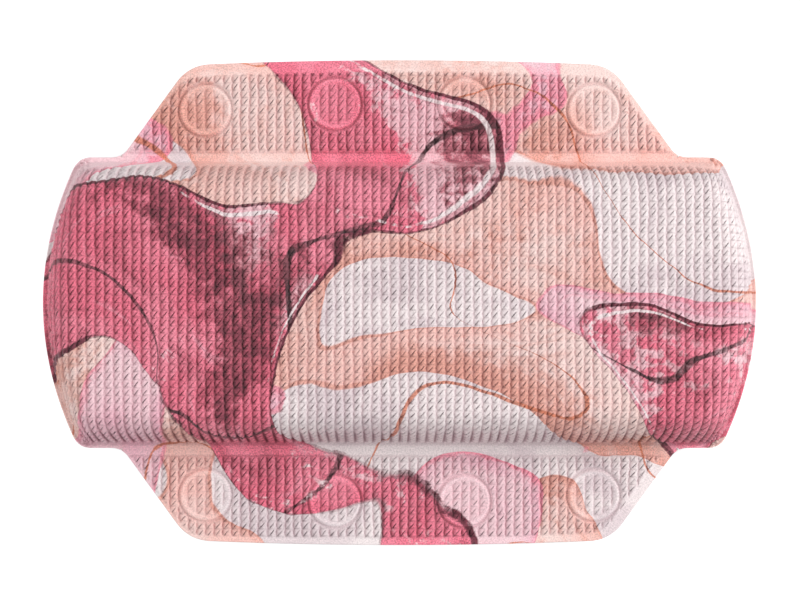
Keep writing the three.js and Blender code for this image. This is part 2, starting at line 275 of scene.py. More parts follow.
# The stage, in metres: a white floor just under the cups, two lamps by place, size and
# power, and an even light
FLOOR_HALF_SIDE = 6
FLOOR_LEVEL = -0.0002
FLOOR_GLOW = 0.78
KEY = ((1.3, 0.35, 0.8), 0.3, 14)
FILL = ((-1.0, 0.0, 0.9), 1.0, 4)
AMBIENT = 0.7


# The camera comes first


def linked(name, data):
    obj = bpy.data.objects.new(name, data)
    bpy.context.scene.collection.objects.link(obj)
    return obj


def camera():
    data = bpy.data.cameras.new("camera")
    data.sensor_width = 36
    data.lens = CAMERA_LENS
    data.clip_start = 0.01
    obj = linked("camera", data)
    obj.location = [size * MM for size in CAMERA_PLACE]
    bpy.context.scene.camera = obj


camera()


# Curves and soft steps


def bezier(a, b, c, count):
    """Points of a curve from a towards b and on to c, without its last point."""
    t = np.linspace(0, 1, count, endpoint=False)[:, None]
    a, b, c = (np.array(p, float) for p in (a, b, c))
    return (1 - t) ** 2 * a + 2 * t * (1 - t) * b + t**2 * c


def smoothstep(value, low, high):
    t = np.clip((value - low) / (high - low), 0, 1)
    return t * t * (3 - 2 * t)


def hump(value, middle, half_width):
    """1 at the middle, falling smoothly to 0 at half_width from it."""
    t = np.clip((value - middle) / half_width, -1, 1)
    return (1 - t * t) ** 2


def ripple(x, y, reach, seed, count, shortest, longest):
    """A smooth uneven surface, up to about reach: waves of mixed lengths and directions."""
    waves = np.random.default_rng(seed)
    total = np.zeros(np.shape(x))
    for _ in range(count):
        length = waves.uniform(shortest, longest)
        turn = waves.uniform(0, math.tau)
        phase = waves.uniform(0, math.tau)
        total += np.sin((x * math.cos(turn) + y * math.sin(turn)) * math.tau / length + phase)
    return reach * total / math.sqrt(count)


def listed(*grids):
    """Grids of coordinates as one list of points."""
    return np.stack(grids, -1).reshape(-1, len(grids))


# Outlines of the sheets, as closed loops of points


def end_at(y):
    return HALF_WIDTH - END_BOW * (y / HALF_HEIGHT) ** 2


def arch_at(x):
    return TIP_Y - FLAP_ARCH * (x / FLAP_TIP) ** 2


def pillow_quarter():
    """The whole pillow's outline from the +X axis to the +Y axis."""
    bow_y = HALF_HEIGHT - PAD_CORNER
    y = np.linspace(0, bow_y, 60, endpoint=False)
    bow = np.stack([end_at(y), y], 1)
    corner_x = end_at(HALF_HEIGHT)
    corner_end = (corner_x - PAD_CORNER, HALF_HEIGHT)
    pad_corner = bezier((end_at(bow_y), bow_y), (corner_x, HALF_HEIGHT), corner_end, 12)
    root, tip = np.array([FLAP_ROOT, HALF_HEIGHT]), np.array([FLAP_TIP, TIP_CORNER_Y])
    side = (tip - root) / np.linalg.norm(tip - root)
    fillet = bezier(root + (FLAP_FILLET, 0), root, root + FLAP_FILLET * side, 10)
    edge_x = FLAP_TIP - FLAP_CORNER
    flap_corner = bezier(tip - FLAP_CORNER * side, tip, (edge_x, arch_at(edge_x)), 14)
    x = np.linspace(edge_x, 0, 40)
    arch = np.stack([x, arch_at(x)], 1)
    return np.concatenate([bow, pad_corner, [corner_end], fillet, flap_corner, arch])


def mirrored(quarter):
    """A whole loop from its first quarter."""
    turns = [quarter, quarter[::-1] * (-1, 1), quarter * (-1, -1), quarter[::-1] * (1, -1)]
    loop = np.concatenate(turns)
    keep = np.linalg.norm(loop - np.roll(loop, -1, 0), axis=1) > 1e-6
    return loop[keep]


def outward(loop):
    """The direction out of a loop at each of its points."""
    along = np.roll(loop, -1, 0) - np.roll(loop, 1, 0)
    along /= np.linalg.norm(along, axis=1)[:, None]
    return np.stack([along[:, 1], -along[:, 0]], 1)


def parted(inset):
    """The pillow's outline drawn in, as the pad's own loop and the upper flap's, and
    the place on the right where the two meet."""
    quarter = pillow_quarter()
    whole = mirrored(quarter)
    whole = whole - inset * outward(whole)
    quarter = whole[: len(quarter)]
    above = int(np.argmax(quarter[:, 1] > HALF_HEIGHT))
    low, high = quarter[above - 1], quarter[above]
    meeting = low + (high - low) * (HALF_HEIGHT - low[1]) / (high[1] - low[1])
    pad = mirrored(np.concatenate([quarter[:above], [meeting]]))
    right = np.concatenate([[meeting], quarter[above:]])
    flap = np.concatenate([right, right[::-1][1:] * (-1, 1)])
    return pad, flap, meeting


def panel_outline(root_margin, tip_margin, right_margin, left_lift):
    """The foot of the upper flap's embossed panel, drawn in from the flap's outline. Its
    left corner lies nearer to the tip by left_lift."""
    root_y = HALF_HEIGHT + root_margin
    top_y = TIP_CORNER_Y - tip_margin

    def half(margin, lift):
        set_in = margin * math.hypot(1, FLAP_SLOPE)
        corner_y = top_y + lift

        def side_at(y):
            return FLAP_ROOT - set_in + FLAP_SLOPE * (y - HALF_HEIGHT)

        shoulder_y = corner_y - PANEL_CORNER
        tip_x = side_at(corner_y)
        edge_x = tip_x - PANEL_CORNER
        shoulder_at = (side_at(shoulder_y), shoulder_y)
        corner = bezier(shoulder_at, (tip_x, corner_y), (edge_x, corner_y), 12)
        x = np.linspace(edge_x, 0, 30)
        arch = np.stack([x, corner_y + (FLAP_ARCH - lift) * (1 - (x / edge_x) ** 2)], 1)
        return np.concatenate([[(side_at(root_y), root_y)], corner, arch])

    left = half(LEFT_MARGIN, left_lift)[::-1][1:] * (-1, 1)
    return np.concatenate([half(right_margin, 0), left])


def signed_distance(x, y, loop):
    """Distance from points to a closed loop, positive inside it, and the nearest points."""
    points = listed(x, y)
    steps = np.roll(loop, -1, 0) - loop
    best = np.full(len(points), np.inf)
    nearest = np.zeros_like(points)
    inside = np.zeros(len(points), bool)
    for start, step in zip(loop, steps):
        along = np.clip(((points - start) @ step) / (step @ step), 0, 1)
        spot = start + along[:, None] * step
        gap = ((points - spot) ** 2).sum(1)
        closer = gap < best
        best[closer] = gap[closer]
        nearest[closer] = spot[closer]
        crosses = (start[1] > points[:, 1]) != (start[1] + step[1] > points[:, 1])
        if step[1]:
            meets = start[0] + (points[:, 1] - start[1]) * step[0] / step[1]
            inside ^= crosses & (points[:, 0] < meets)
    distance = np.sqrt(best) * np.where(inside, 1, -1)
    return distance.reshape(np.shape(x)), nearest.reshape(np.shape(x) + (2,))


# Sheets made of a grid that is fitted to an outline


def around(grid):
    """The four corners of each cell of a grid, in order."""
    return np.stack([grid[:-1, :-1], grid[:-1, 1:], grid[1:, 1:], grid[1:, :-1]], -1)


def belt(rings):
    """The quads between closed rings of points, each ring a row."""
    return around(np.column_stack([rings, rings[:, :1]])).reshape(-1, 4)


def fit_grid(x, y, loop, sharp_corners):
    """Moves the grid's points beside a loop onto it.
    Returns the new x and y, the faces inside, and which points lie inside."""
    distance, nearest = signed_distance(x, y, loop)
    step_x = np.abs(np.diff(x, axis=1, append=x[:, -1:] * 2 - x[:, -2:-1]))
    step_y = np.abs(np.diff(y, axis=0, append=y[-1:] * 2 - y[-2:-1]))
    near = NEAR * np.minimum(step_x, step_y)
    inside = distance > near
    wide = np.pad(inside, 1)
    beside = wide[:-2, 1:-1] | wide[2:, 1:-1] | wide[1:-1, :-2] | wide[1:-1, 2:]
    on_edge = ~inside & (beside | (np.abs(distance) <= near))
    x = np.where(on_edge, nearest[..., 0], x)
    y = np.where(on_edge, nearest[..., 1], y)
    for corner in sharp_corners:
        gap = np.where(on_edge, np.hypot(x - corner[0], y - corner[1]), np.inf)
        closest = np.unravel_index(np.argmin(gap), gap.shape)
        x[closest], y[closest] = corner
    used = inside | on_edge
    index = np.arange(x.size).reshape(x.shape)
    corners, kept, held = around(index), around(used), around(inside).any(-1)
    faces = corners[kept.all(-1) & held].tolist()
    cut = (kept.sum(-1) == 3) & held
    faces += [face[keep].tolist() for face, keep in zip(corners[cut], kept[cut])]
    return x, y, faces, inside


def border(faces):
    """The loop of points round a patch of faces."""
    edges = {(a, b) for face in faces for a, b in zip(face, face[1:] + face[:1])}
    following = {a: b for a, b in edges if (b, a) not in edges}
    loop = [min(following)]
    while following[loop[-1]] != loop[0]:
        loop.append(following[loop[-1]])
    if len(loop) != len(following):
        raise ValueError("the patch's border is not one loop")
    return loop


def rim_rows(edge, edge_flat, facing):
    """Rows of points that carry a sheet's border round its rim to the weld, and their places
    on the flat sheet. They run straight down where the sheet goes on in another piece."""
    radius, weld_drop = RIMS[facing]
    outer, nearest = signed_distance(edge[:, 0], edge[:, 1], mirrored(pillow_quarter()))
    reach = nearest - edge[:, :2]
    reach[np.abs(outer) > RIM_REACH * radius] = 0
    turns = np.radians(RIM_TURNS)
    steps = [(math.sin(a), radius * (1 - math.cos(a)), radius * a) for a in turns]
    steps.append((1, weld_drop, radius * turns[-1] + weld_drop - radius))
    rows, flats = [], []
    for share, drop, travelled in steps:
        level = edge[:, 2] - facing * drop
        rows.append(np.column_stack([edge[:, :2] + reach * share, level]))
        flats.append(edge_flat + outward(edge_flat) * travelled)
    return rows, flats


def closed_sheet(name, skin, faces, flat, facing, inner, inner_height):
    """A closed sheet: a fine skin, a rounded rim, and a coarse inner side. flat holds the
    skin's places on the flat sheet, facing is 1 where it looks forwards and -1 where it
    looks back, and inner is the plan of the inner side's points."""
    used = np.unique(np.concatenate(faces))
    renumber = np.full(len(skin), -1)
    renumber[used] = np.arange(len(used))
    polygons = [renumber[face].tolist() for face in faces]
    skin, flat = skin[used], flat[used]
    loop = border(polygons)
    rows, row_flats = rim_rows(skin[loop], flat[loop], facing)
    count = len(loop)
    rings = np.concatenate([loop, len(skin) + np.arange(count * len(rows))]).reshape(-1, count)
    polygons += belt(rings)[:, ::-1].tolist()
    skin_faces = len(polygons)
    spots = [Vector(p) for p in np.concatenate([rows[-1][:, :2], inner])]
    found = delaunay_2d_cdt(spots, [], [list(range(count))], 1, 1e-5)
    if [ids[0] for ids in found[3]] != list(range(len(spots))):
        raise ValueError("the inner side of %s lost points" % name)
    first = int(rings[-1, 0])
    polygons += [[first + v for v in face][::-1] for face in found[2]]
    depth = inner_height(inner[:, 0], inner[:, 1])
    points = np.concatenate([skin, *rows, np.column_stack([inner, depth])])
    flats = np.concatenate([flat, *row_flats, inner])
    if facing < 0:
        polygons = [face[::-1] for face in polygons]
    return sheet_mesh(name, points, polygons, flats, skin_faces), used


def smooth_mesh(name, points, polygons, angle=None):
    mesh = bpy.data.meshes.new(name)
    mesh.from_pydata((points * MM).tolist(), [], polygons)
    mesh.shade_smooth()
    if angle:
        mesh.set_sharp_from_angle(angle=math.radians(angle))
    return mesh


def sheet_mesh(name, points, polygons, flats, skin_faces):
    """A mesh with two maps: Sheet, which the finishes use, and OFBake, where the inner
    side lies apart from the skin."""
    mesh = smooth_mesh(name, points, polygons, SHEET_ANGLE)
    corner = np.zeros(len(mesh.loops), np.int32)
    mesh.loops.foreach_get("vertex_index", corner)
    spread = flats[corner]
    sheet = mesh.uv_layers.new(name="Sheet")
    sheet.data.foreach_set("uv", (spread / SHEET_UNIT).astype(np.float32).ravel())
    totals = np.zeros(len(mesh.polygons), np.int32)
    mesh.polygons.foreach_get("loop_total", totals)
    apart = spread.copy()
    apart[int(totals[:skin_faces].sum()) :, 1] -= np.ptp(flats[:, 1]) + MAP_GAP
    low = apart.min(0) - MAP_MARGIN
    span = (apart.max(0) + MAP_MARGIN - low).max()
    bake = mesh.uv_layers.new(name="OFBake")
    bake.data.foreach_set("uv", ((apart - low) / span).astype(np.float32).ravel())
    if mesh.validate(verbose=False):
        raise ValueError("the mesh of %s was not sound" % name)
    return linked(name, mesh)


def lay_attributes(obj, used, **fields):
    """Lays fields of the grid on the skin's points, which come first in the mesh."""
    for name, values in fields.items():
        attribute = obj.data.attributes.new(name, "FLOAT", "POINT")
        everywhere = np.zeros(len(obj.data.vertices), np.float32)
        everywhere[: len(used)] = values.ravel()[used]
        attribute.data.foreach_set("value", everywhere)


# The form of the padded centre


def shoulder(distance):
    """Climbs from 0 at the foot to 1 on the plateau, with a small fillet at the foot."""
    climbed = np.clip(distance / SHOULDER, 0, 1)
    eased = np.sqrt(climbed**2 + FOOT_FILLET**2) - FOOT_FILLET
    climbed = eased / (math.sqrt(1 + FOOT_FILLET**2) - FOOT_FILLET)
    return 1 - (1 - climbed) ** SHOULDER_POWER


def insets(x, y, inset=FOOT_INSET):
    """How far points lie from the pad's ends and from its long edges, drawn in by inset."""
    return end_at(y) - inset - np.abs(x), HALF_HEIGHT - inset - np.abs(y)


def pad_height(x, y):
    from_end, from_edge = insets(x, y)
    climbed = shoulder(from_end) * shoulder(from_edge)
    crown = CROWN * (1 - (x / HALF_WIDTH) ** 2) * (1 - (y / HALF_HEIGHT) ** 2)
    rise = PLATEAU - BAND_TOP - CROWN
    slack = ripple(x, y, *SLACK) * climbed
    puckers = ripple(x, y, *PUCKERS) * climbed * (1 - climbed)
    puckers = puckers * smoothstep(from_edge, *PUCKERS_BEGIN)
    return BAND_TOP + climbed * (rise + crown) + slack + puckers


def sheet_along(limit, foot):
    """Distances over the formed sheet for distances over the plan, up to limit."""
    plan = np.linspace(0, limit, SHEET_SAMPLES)
    inward = foot - plan
    most, middle, width = WALL_CROWDING
    crowded = most / (1 + ((inward - middle) / width) ** 4)
    density = 1 + np.where(inward > 0, crowded, 0)
    over = np.concatenate([[0], np.cumsum((density[1:] + density[:-1]) / 2 * np.diff(plan))])
    return plan, over


def lattice(shares, low, high, size):
    """Grid lines over the stitches from low to high, at these shares of each stitch, and
    each line's number counted from the sheet's centre."""
    cells = np.arange(math.floor(low / size), math.ceil(high / size))
    lines = (cells[:, None] + np.array(shares)) * size
    numbers = cells[:, None] * len(shares) + np.arange(len(shares))
    return lines.ravel(), numbers.ravel()


# The embossed stitches: upright ribs, each cut by a row of slanting nicks


def stitch(across, along, shares):
    """How high each point of a grid stands, from 0 in a groove to 1 on a crest, and
    how far it is moved sideways."""
    nu, nv = len(shares[0]), len(shares[1])
    ku, kv = across % nu, along % nv
    column, row = across // nu, along // nv
    chance = np.random.default_rng(CHANCE_SEED).uniform(-1, 1, (4, CHANCE_CELLS, CHANCE_CELLS))
    chance = chance[:, column % CHANCE_CELLS, row % CHANCE_CELLS]
    u, v = np.array(shares[0])[ku], np.array(shares[1])[kv]
    rib = np.interp(u, RIB_SHARES, RIB_LEVELS)
    height = 1 - (1 - rib) * (1 - RIB_CHANCE * chance[0])
    first = shares[0].index(NICK_START[0])
    depth = np.interp(u, (NICK_START[0], NICK_END[0]), NICK_DEPTHS)
    depth = depth * (1 + NICK_CHANCE * chance[1])
    in_nick = (u >= NICK_START[0]) & (u <= NICK_END[0])
    height = height - np.where(in_nick & (ku - first == kv - 1), depth, 0)
    height = height + np.where(in_nick & (ku - first == kv - 2), NICK_LIP, 0)
    height = height - np.where((kv == 0) & (ku > 0), ROW_DIP, 0)
    scallop = SCALLOP * np.cos(math.tau * (v - SCALLOP_START))
    return height, np.where(ku == 0, scallop, CREST_CHANCE * chance[2])


def wandered(x, y, pattern, shift):
    """Points moved sideways by the stitches' scallops, and a little off their straight
    columns and rows."""
    across = shift + ripple(x, y, *COLUMN_WANDER)
    along = ripple(x, y, *ROW_WANDER)
    return x + across * pattern, y + along * pattern


def sunk(x, y, height_at, sink):
    """Points of a height field, sunk by sink along its normals."""
    step = 0.05
    slope_x = (height_at(x + step, y) - height_at(x - step, y)) / (2 * step)
    slope_y = (height_at(x, y + step) - height_at(x, y - step)) / (2 * step)
    down = sink / np.sqrt(1 + slope_x**2 + slope_y**2)
    z = height_at(x, y) - down
    return listed(x + slope_x * down, y + slope_y * down, z)


def coarse_plan(inset):
    """A coarse grid over the pad's plan, closer together at the shoulders."""
    spread = np.sin(np.linspace(-0.5, 0.5, COARSE_LINES) * math.pi)
    y = np.repeat((HALF_HEIGHT - inset) * spread[:, None], len(spread), 1)
    return listed((end_at(y) - inset) * spread[None, :], y)


def foot_ring(inset):
    """Points all round the pad's plan, drawn in by inset."""
    edge_y = HALF_HEIGHT - inset
    edge_x = end_at(edge_y) - inset
    y = edge_y * np.linspace(-1, 1, FOOT_POINTS[0], endpoint=False)
    right = np.stack([end_at(y) - inset, y], 1)
    x = edge_x * np.linspace(1, -1, FOOT_POINTS[1], endpoint=False)
    top = np.stack([x, np.full(len(x), edge_y)], 1)
    half = np.concatenate([right, top])
    return np.concatenate([half, -half])


def dome_inside(inset, bottom, top):
    """The height of a dome that lies inside the pad's own."""

    def height(x, y):
        from_end, from_edge = insets(x, y, inset)
        return bottom + shoulder(from_end) * shoulder(from_edge) * (top - bottom)

    return height


def cover_grid():
    """The cover's grid in plan, the places of its lines over the sheet, and their numbers."""
    plan_y, over_y = sheet_along(HALF_HEIGHT + PAD_OVERRUN, HALF_HEIGHT - FOOT_INSET)
    v_lines, v_numbers = lattice(PAD_SHARES[1], -over_y[-1], over_y[-1], ROW)
    u_limit = sheet_along(HALF_WIDTH + PAD_OVERRUN, HALF_WIDTH - FOOT_INSET)[1][-1]
    u_lines, u_numbers = lattice(PAD_SHARES[0], -u_limit, u_limit, COLUMN)
    y_rows = np.sign(v_lines) * np.interp(np.abs(v_lines), over_y, plan_y)
    x = np.zeros((len(v_lines), len(u_lines)))
    for row, y_row in enumerate(y_rows):
        plan, over = sheet_along(HALF_WIDTH + 2 * PAD_OVERRUN, end_at(y_row) - FOOT_INSET)
        x[row] = np.sign(u_lines) * np.interp(np.abs(u_lines), over, plan)
    y = np.repeat(y_rows[:, None], len(u_lines), 1)
    return x, y, (u_lines, v_lines), (u_numbers, v_numbers)


def cover_marks(x, y):
    """How far each point of the cover lies on an end wall, in the stitches' pattern and on the
    lower wall, and how much painted shade it gets in the crease at the foot and on the flange that
    the weld flattens at an end."""
    from_end, from_edge = insets(x, y)
    wall = smoothstep(from_end, *WALL_FOOT) * (1 - smoothstep(from_end, *WALL_TOP))
    upper_bare = UPPER_BARE + CORNER_BARE * smoothstep(np.abs(x), *UPPER_CORNERS)
    bare = np.where(y > 0, upper_bare, LOWER_BARE)
    edge = np.where(y > 0, UPPER_EDGE, LOWER_EDGE)
    pattern = smoothstep(from_edge, bare, bare + edge) * smoothstep(from_end, *END_EDGE)
    pattern = pattern * (1 - WALL_LOSS * wall)
    lower = (y < 0) * (1 - smoothstep(from_edge, *LOWER_WALL))
    from_foot = np.where(y > 0, from_end, np.minimum(from_end, from_edge))
    foot = FOOT_SHADE * hump(from_foot, *FOOT_CREASE)
    return wall, pattern, lower, foot, 1 - smoothstep(from_end, *FLANGE_EDGE)


def pad_cover():
    outline, _, meeting = parted(FRONT_RIM)
    x, y, lines, numbers = cover_grid()
    height, shift = stitch(*np.meshgrid(*numbers), PAD_SHARES)
    corners = [meeting * (a, b) for a in (1, -1) for b in (1, -1)]
    x, y, faces, inside = fit_grid(x, y, outline, corners)
    wall, pattern, lower, foot, pressed = cover_marks(x, y)
    u, v = np.meshgrid(*lines)
    creases = wall * ripple(CREASE_STRETCH[0] * u, CREASE_STRETCH[1] * v, *CREASES)
    x, y = wandered(x, y, np.where(inside, pattern, 0), shift)
    cut = (1 + LOWER_BOOST * lower) * pattern * (1 - height)
    skin = sunk(x, y, pad_height, STITCH_DEPTH * cut + CREASE_DEPTH * creases)
    inset = FOOT_INSET + COVER_WALL
    dome = dome_inside(inset, WELD, PLATEAU - CROWN - COVER_WALL)
    inner = np.concatenate([coarse_plan(inset), foot_ring(inset - RING_LEAD)])
    obj, used = closed_sheet("pad_cover", skin, faces, listed(u, v), 1, inner, dome)
    # Painted shade: the stitches' hollows, the crease at the foot and the end walls' creases
    depth = np.maximum(cut, foot) + CREASE_SHADE * np.clip(creases, 0, 1)
    # The lower wall's grooves get more painted shade, and the flange at the ends gets its own
    lay_attributes(obj, used, pattern=pattern, depth=depth, lower=lower * depth, pressed=pressed)
    return obj


# The flaps. The lower one's plan is the upper one's turned over in Y.
TURN = {"upper": 1, "lower": -1}


def weld_level(x, y):
    return np.full(np.shape(x), WELD)


def cup_centres(side):
    cups = [corners_of("%s_flap_suction_cup_%d" % (side, number)) for number in range(1, 5)]
    return [(low + high)[:2] / 2 for low, high in cups]


def flap_plan():
    """A coarse grid inside the upper flap's outline."""
    rows = np.arange(HALF_HEIGHT + OVERRUN, TIP_Y, INNER_PITCH)
    x, y = np.meshgrid(np.arange(*INNER_COLUMNS), rows)
    distance, _ = signed_distance(x, y, parted(FRONT_RIM)[1])
    return np.stack([x, y], -1)[distance > INNER_MARGIN]


def ringed(x, y, level, pattern, side):
    """A flap's face with the rings that the cups' welds leave, its pattern broken there,
    and how deep each point lies in a ring."""
    rings = np.zeros(x.shape)
    for centre in cup_centres(side):
        r = np.hypot(x - centre[0], y - centre[1])
        disc = DISC_STITCH * (1 - smoothstep(r, *DISC_EDGE))
        pattern = pattern * (smoothstep(r, *OUTER_EDGE) + disc)
        level = level - RING_SINK * (1 - smoothstep(r, DISC_RADIUS, GROOVE_RADIUS))
        level = level + RIDGE_RISE * hump(r, *RIDGE)
        level = level + hump(r, *STIPPLE_RING) * ripple(x, y, *STIPPLE)
        rings = np.maximum(rings, 1 - smoothstep(np.abs(r - GROOVE_RADIUS), *GROOVE_EDGE))
    return level - GROOVE_DEPTH * rings, pattern, rings


def flap_face(side, root_margin, *margins):
    """A flap's printed face, whose stitches go on from the cover's."""
    turn = TURN[side]
    _, outline, meeting = parted(FRONT_RIM)
    _, over_y = sheet_along(HALF_HEIGHT, HALF_HEIGHT - FOOT_INSET)
    ahead = over_y[-1] - HALF_HEIGHT
    root, tip = HALF_HEIGHT + ahead - OVERRUN, TIP_Y + ahead + OVERRUN
    v_lines, v_numbers = lattice(FLAP_SHARES[1], *sorted((turn * root, turn * tip)), ROW)
    side_end = FLAP_ROOT + SIDE_OVERRUN
    u_lines, u_numbers = lattice(FLAP_SHARES[0], -side_end, side_end, COLUMN)
    height, shift = stitch(*np.meshgrid(u_numbers, v_numbers), FLAP_SHARES)
    x, y = np.meshgrid(u_lines, v_lines - turn * ahead)
    corners = [meeting * (a, turn) for a in (1, -1)]
    x, y, faces, inside = fit_grid(x, y, outline * (1, turn), corners)
    from_foot, _ = signed_distance(x, y, panel_outline(root_margin, *margins) * (1, turn))
    beside_root = np.abs(y) < HALF_HEIGHT + root_margin + OVERRUN
    painted_root_shade = ROOT_SHADE * hump(from_foot, *ROOT_CREASE) * beside_root
    panel = smoothstep(from_foot, *PANEL_SLOPE)
    level = BAND_TOP + (PANEL_RISE + ripple(x, y, *PANEL_SLACK)) * panel
    pattern = smoothstep(from_foot, 0, PANEL_EDGE)
    level, pattern, rings = ringed(x, y, level, pattern, side)
    x, y = wandered(x, y, np.where(inside, pattern, 0), shift)
    z = level - STITCH_DEPTH * pattern * (1 - height)
    flat = listed(*np.meshgrid(u_lines, v_lines))
    inner = flap_plan() * (1, turn)
    name = "%s_flap_face" % side
    obj, used = closed_sheet(name, listed(x, y, z), faces, flat, 1, inner, weld_level)
    # Painted shade: the stitches' hollows, the rings' grooves and the crease at the panel's root
    depth = np.maximum(pattern * (1 - height), np.maximum(RING_SHADE * rings, painted_root_shade))
    lay_attributes(obj, used, pattern=pattern, depth=depth)
    return obj


# The back sheets and the core


def back_height(x, y):
    from_end, from_edge = insets(x, y)
    fall = smoothstep(from_end, 0, BACK_SLOPE) * smoothstep(from_edge, 0, BACK_SLOPE)
    puckers = ripple(x, y, *BACK_PUCKERS) * fall * (1 - fall) ** 2
    return BACK_BOTTOM * (1 - fall) + puckers * smoothstep(fall, *BACK_PUCKERS_BEGIN)


def back_sheet(name, columns, rows, outline, corners, height_at, inner, lining):
    """A sheet whose skin looks back, on a grid of these columns and rows."""
    x, y = np.meshgrid(columns, rows)
    flat = listed(x, y)
    x, y, faces, _ = fit_grid(x, y, outline, corners)
    skin = listed(x, y, height_at(x, y))
    return closed_sheet(name, skin, faces, flat, -1, inner, lining)[0]


def pad_back():
    outline, _, meeting = parted(BACK_RIM)
    columns, rows = np.arange(*PAD_BACK_COLUMNS), np.arange(*PAD_BACK_ROWS)
    corners = [meeting * (a, b) for a in (1, -1) for b in (1, -1)]
    inner = coarse_plan(FOOT_INSET + BACK_WALL)

    def lining(x, y):
        return np.minimum(back_height(x, y) + BACK_WALL, WELD)

    return back_sheet("pad_back", columns, rows, outline, corners, back_height, inner, lining)


def flap_back(side):
    turn = TURN[side]
    _, outline, meeting = parted(BACK_RIM)
    low, high = sorted((turn * (HALF_HEIGHT - OVERRUN), turn * (TIP_Y + OVERRUN)))
    columns, rows = np.arange(*FLAP_BACK_COLUMNS), np.arange(low, high, FLAP_BACK_PITCH)
    corners = [meeting * (a, turn) for a in (1, -1)]

    def height_at(x, y):
        level = np.full(x.shape, BACK_BOTTOM)
        for centre in cup_centres(side):
            r = np.hypot(x - centre[0], y - centre[1])
            level = level + WELD_MARK_RISE * hump(r, *WELD_MARK)
        return level

    name = "%s_flap_back" % side
    inner = flap_plan() * (1, turn)
    outline = outline * (1, turn)
    return back_sheet(name, columns, rows, outline, corners, height_at, inner, weld_level)


def foam_block():
    """The core, a crowned block between the cover and the back."""
    plan = coarse_plan(CORE_INSET)
    side = math.isqrt(len(plan))
    bottom = BACK_TOP + CORE_GAP
    top = dome_inside(CORE_INSET, bottom + CORE_GAP, PLATEAU - CROWN - COVER_WALL - CORE_GAP)
    low = np.minimum(back_height(*plan.T) + BACK_WALL + CORE_GAP, bottom)
    points = np.concatenate([np.column_stack([plan, low]), np.column_stack([plan, top(*plan.T)])])
    index = np.arange(2 * side * side).reshape(2, side, side)
    polygons = []
    for grid, order in zip(index, (-1, 1)):
        polygons += around(grid).reshape(-1, 4)[:, ::order].tolist()
    edges = (index[:, 0, :-1], index[:, :-1, -1], index[:, -1, :0:-1], index[:, :0:-1, 0])
    polygons += belt(np.concatenate(edges, 1)).tolist()
    return linked("foam_block", smooth_mesh("foam_block", points, polygons))


# The suction cups


def cup_profile():
    """Half of a cup's section, from its hollow's crown round the lip and up to the weld."""
    inner = RIM_RADIUS - CUP_RIM_WIDTH
    lip, edge = 0.45, 0.5
    crown, rim = (0, CAVITY_DEPTH), (inner, 0.15)
    bell_end = (NECK_RADIUS + 1.4, BELL_HEIGHT - 0.1)
    neck = (NECK_RADIUS, BELL_HEIGHT + 0.9)
    flare = (NECK_RADIUS, DISC_BOTTOM - 0.7)
    disc = (WELD_DISC_RADIUS - edge, DISC_BOTTOM)
    disc_side = (WELD_DISC_RADIUS, DISC_BOTTOM + edge)
    curves = [
        bezier(crown, (0.72 * inner, CAVITY_DEPTH), rim, 14),
        bezier(rim, (inner + 0.1, 0), (inner + 0.4, 0), 3),
        bezier((inner + 0.4, 0), (RIM_RADIUS, 0), (RIM_RADIUS, lip), 4),
        bezier((RIM_RADIUS, lip), (0.86 * RIM_RADIUS, BELL_HEIGHT), bell_end, 16),
        bezier(bell_end, (NECK_RADIUS, BELL_HEIGHT), neck, 6),
        bezier(flare, (NECK_RADIUS, DISC_BOTTOM), (NECK_RADIUS + 0.9, DISC_BOTTOM), 6),
        bezier(disc, (WELD_DISC_RADIUS, DISC_BOTTOM), disc_side, 5),
        np.array([(WELD_DISC_RADIUS, BACK_BOTTOM - 0.02), (0, BACK_BOTTOM - 0.02)]),
    ]
    return np.concatenate(curves)


def suction_cup(name, centre):
    """A cup turned round its own axis."""
    profile = cup_profile()
    turns = np.arange(CUP_FACETS) * math.tau / CUP_FACETS
    circle = np.stack([np.cos(turns), np.sin(turns)], 1)
    rings = [np.column_stack([r * circle, np.full(CUP_FACETS, z)]) for r, z in profile[1:-1]]
    poles = [(0, 0, profile[0, 1]), (0, 0, profile[-1, 1])]
    points = np.concatenate([*rings, poles]) + (*centre, 0)
    crown, weld = len(points) - 2, len(points) - 1
    polygons = belt(np.arange(crown).reshape(-1, CUP_FACETS)).tolist()
    last = crown - CUP_FACETS
    for a in range(CUP_FACETS):
        b = (a + 1) % CUP_FACETS
        polygons += [[crown, b, a], [weld, last + a, last + b]]
    return linked(name, smooth_mesh(name, points, polygons, CUP_ANGLE))


# Finishes


def paint(red, green, blue):
    """A screen colour, 0 to 255, as the linear values that a shader takes."""
    share = np.array([red, green, blue]) / 255
    linear = np.where(share <= 0.04045, share / 12.92, ((share + 0.055) / 1.055) ** 2.4)
    return (*linear.tolist(), 1)


ROSE = paint(254, 150, 170)
DEEP_ROSE = paint(244, 120, 144)
WINE = paint(186, 78, 98)
LINE = paint(122, 52, 68)
INK = paint(82, 50, 56)
PINK = paint(247, 189, 204)
PALE_PINK = paint(249, 213, 219)
PEACH = paint(252, 202, 193)
DEEP_PEACH = paint(235, 164, 147)
PALE_PEACH = paint(250, 221, 215)
BLUSH = paint(247, 235, 235)
DUSK = paint(232, 216, 219)
ORANGE = paint(224, 130, 96)
CREAM = paint(240, 233, 226)
FOAM = paint(242, 234, 214)


